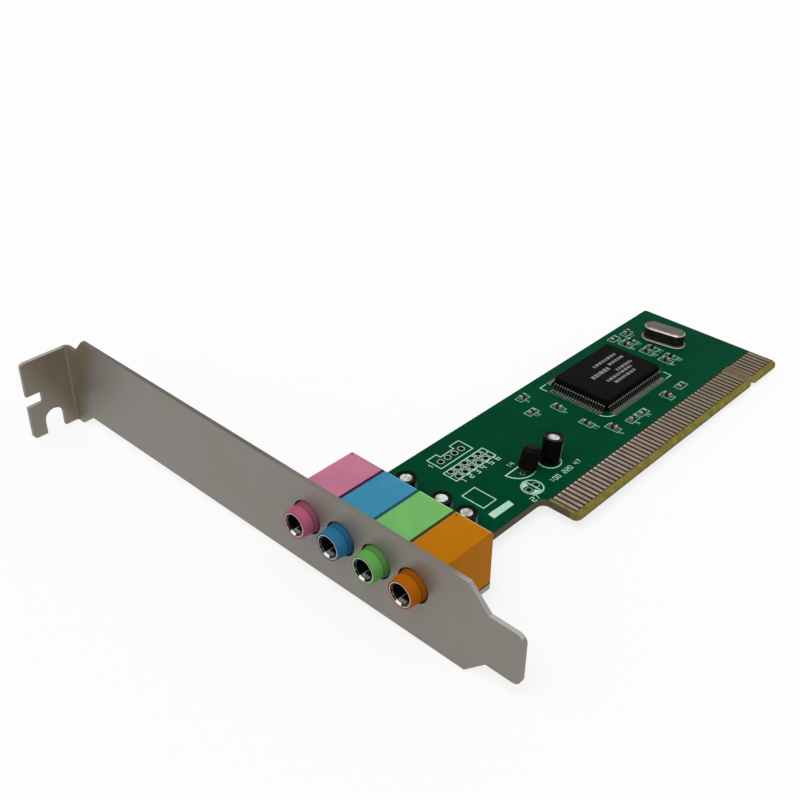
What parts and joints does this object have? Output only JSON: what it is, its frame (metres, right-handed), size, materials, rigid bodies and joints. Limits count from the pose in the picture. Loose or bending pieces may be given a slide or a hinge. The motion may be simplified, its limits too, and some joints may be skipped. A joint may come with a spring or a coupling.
{
  "type": "pci sound card",
  "caption": "Narrow circuit board with a keyed card edge, a controller chip and a row of coloured audio jacks on a bent steel slot bracket; adds sound to a computer.",
  "frame": {"origin": "on the card edge: the middle of the key slot, on the bevelled tip, halfway through the board", "axes": "+X along the board away from the bracket, +Y from the card edge towards the bracket's tab, +Z out of the component side"},
  "size_m": [0.1249, 0.1201, 0.0216],
  "materials": {
    "bracket_steel": "satin",
    "board_green": "satin",
    "contact_plating": "satin",
    "rivet_metal": "satin",
    "jack_orange": "satin",
    "jack_green": "satin",
    "jack_blue": "satin",
    "jack_pink": "satin",
    "jack_contact_metal": "bright",
    "chip_black": "matt",
    "transistor_black": "matt",
    "tinned_lead": "bright",
    "crystal_case": "satin",
    "capacitor_aluminium": "satin",
    "capacitor_sleeve_black": "gloss",
    "ceramic_tan": "matt",
    "resistor_black": "satin"
  },
  "bodies": {
    "root": {"circuit_board": "board_green", "edge_contacts_component_side": "contact_plating", "edge_contacts_solder_side": "contact_plating", "bracket": "bracket_steel", "bracket_rivets": "rivet_metal", "rear_jack_housing": "jack_orange", "rear_jack_sleeve_contact": "jack_contact_metal", "rear_jack_ring_contact": "jack_contact_metal", "rear_jack_tip_contact": "jack_contact_metal", "front_jack_housing": "jack_green", "front_jack_sleeve_contact": "jack_contact_metal", "front_jack_ring_contact": "jack_contact_metal", "front_jack_tip_contact": "jack_contact_metal", "line_in_jack_housing": "jack_blue", "line_in_jack_sleeve_contact": "jack_contact_metal", "line_in_jack_ring_contact": "jack_contact_metal", "line_in_jack_tip_contact": "jack_contact_metal", "mic_jack_housing": "jack_pink", "mic_jack_sleeve_contact": "jack_contact_metal", "mic_jack_ring_contact": "jack_contact_metal", "mic_jack_tip_contact": "jack_contact_metal", "controller_chip_body": "chip_black", "controller_chip_leads": "tinned_lead", "crystal_can": "crystal_case", "crystal_base": "crystal_case", "crystal_leads": "tinned_lead", "coupling_capacitor_1_can": "capacitor_aluminium", "coupling_capacitor_1_sleeve": "capacitor_sleeve_black", "coupling_capacitor_1_leads": "tinned_lead", "coupling_capacitor_2_can": "capacitor_aluminium", "coupling_capacitor_2_sleeve": "capacitor_sleeve_black", "coupling_capacitor_2_leads": "tinned_lead", "coupling_capacitor_3_can": "capacitor_aluminium", "coupling_capacitor_3_sleeve": "capacitor_sleeve_black", "coupling_capacitor_3_leads": "tinned_lead", "supply_capacitor_can": "capacitor_aluminium", "supply_capacitor_sleeve": "capacitor_sleeve_black", "supply_capacitor_leads": "tinned_lead", "transistor_body": "transistor_black", "transistor_leads": "tinned_lead", "ceramic_capacitor_bodies": "ceramic_tan", "ceramic_capacitor_terminals": "tinned_lead", "chip_resistor_bodies": "resistor_black", "chip_resistor_terminals": "tinned_lead"}
  },
  "joints": []
}
